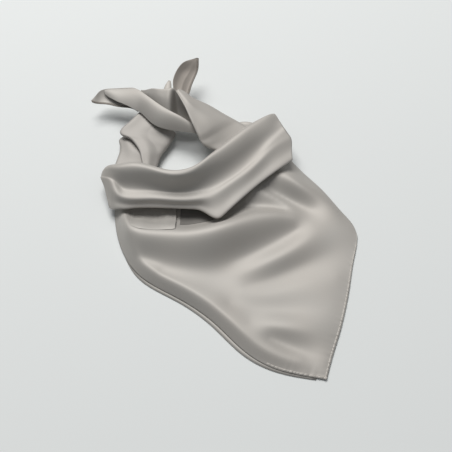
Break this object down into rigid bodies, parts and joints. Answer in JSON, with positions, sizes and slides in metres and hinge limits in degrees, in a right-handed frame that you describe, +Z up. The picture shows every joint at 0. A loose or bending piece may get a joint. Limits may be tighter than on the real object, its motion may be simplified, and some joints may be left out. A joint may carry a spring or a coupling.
{
  "type": "square satin neckerchief, folded corner to corner, knotted and laid down",
  "caption": "Plain silver-taupe satin neckerchief, folded to a triangle, tied behind and lying on its back layer.",
  "frame": {"origin": "on the surface it lies on, under the middle of its bounding box", "axes": "+Z up from the surface, -Y towards the point of the bib, +X towards its hemmed right side"},
  "size_m": [0.3172, 0.4153, 0.0481],
  "materials": {
    "satin": "plain satin weave with a soft silvery sheen",
    "hem_satin": "rolled hem of the same satin, stitched through"
  },
  "bodies": {
    "root": {"bib_back": "satin", "bib_front": "satin", "bib_left_hem": "hem_satin", "bib_right_hem": "hem_satin", "cowl_inner": "satin", "cowl_pleat": "satin", "knot_core": "satin", "knot_corner": "satin", "knot_wrap": "satin", "neck_roll": "satin", "neck_roll_core": "satin", "side_left": "satin", "side_left_core": "satin", "side_left_tuck": "satin", "side_right": "satin", "side_right_core": "satin", "side_right_under": "satin", "tail_left_back": "satin", "tail_left_back_hem": "hem_satin", "tail_left_front": "satin", "tail_up": "satin", "tail_up_hem": "hem_satin"}
  },
  "joints": []
}
